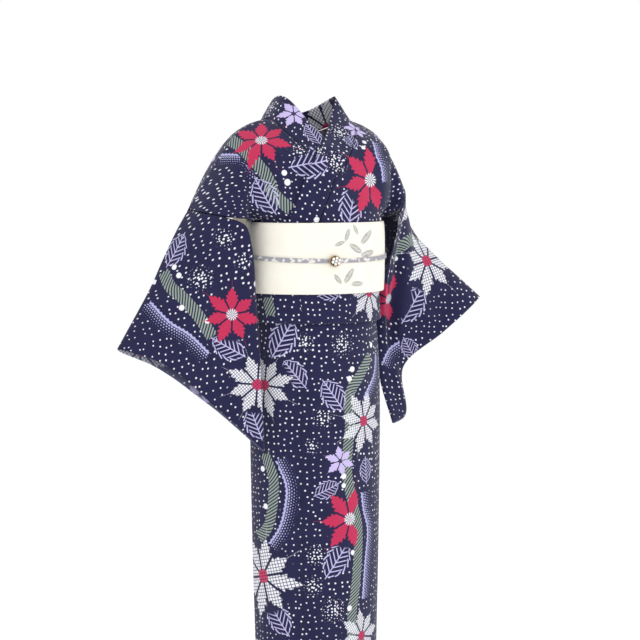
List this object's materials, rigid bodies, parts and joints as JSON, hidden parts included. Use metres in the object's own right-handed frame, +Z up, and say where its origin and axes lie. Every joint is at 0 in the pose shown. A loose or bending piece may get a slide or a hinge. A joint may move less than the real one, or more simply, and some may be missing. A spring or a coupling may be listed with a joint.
{
  "type": "yukata robe with obi",
  "caption": "Ankle-length cotton kimono robe with square hanging sleeves, worn left over right and tied with a wide sash, cord and drum knot; hollow, in worn form.",
  "frame": {"origin": "on the middle line between the shoulders, at the height where the shoulder seams leave the collar; the place a hanger, a dress form or a wearer carries the robe", "axes": "+Z up from hem to neck, the robe's front faces -Y, +X is the wearer's left"},
  "size_m": [0.8485, 0.3146, 1.3366],
  "materials": {
    "indigo_cotton": "printed plain-weave cotton, matte",
    "obi_ivory": "fine ribbed weave, soft sheen",
    "cord_lilac_grey": "flat braid, matte",
    "ornament_bronze": "aged bronze, satin",
    "ornament_pearl": "pearl beads, soft gloss"
  },
  "bodies": {
    "root": {"collar": "indigo_cotton", "upper_body_left": "indigo_cotton", "upper_body_right": "indigo_cotton", "upper_okumi_left": "indigo_cotton", "sleeve_left": "indigo_cotton", "sleeve_right": "indigo_cotton", "skirt_back_left": "indigo_cotton", "skirt_back_right": "indigo_cotton", "skirt_front_left": "indigo_cotton", "skirt_front_right": "indigo_cotton", "skirt_okumi_left": "indigo_cotton", "skirt_okumi_right": "indigo_cotton", "obi_band": "obi_ivory", "obi_drum": "obi_ivory", "obi_tail": "obi_ivory", "obi_cord": "cord_lilac_grey", "ornament_plate": "ornament_bronze", "pearl_1": "ornament_pearl", "pearl_2": "ornament_pearl", "pearl_3": "ornament_pearl", "pearl_4": "ornament_pearl", "pearl_5": "ornament_pearl", "pearl_6": "ornament_pearl", "pearl_7": "ornament_pearl"}
  },
  "joints": []
}
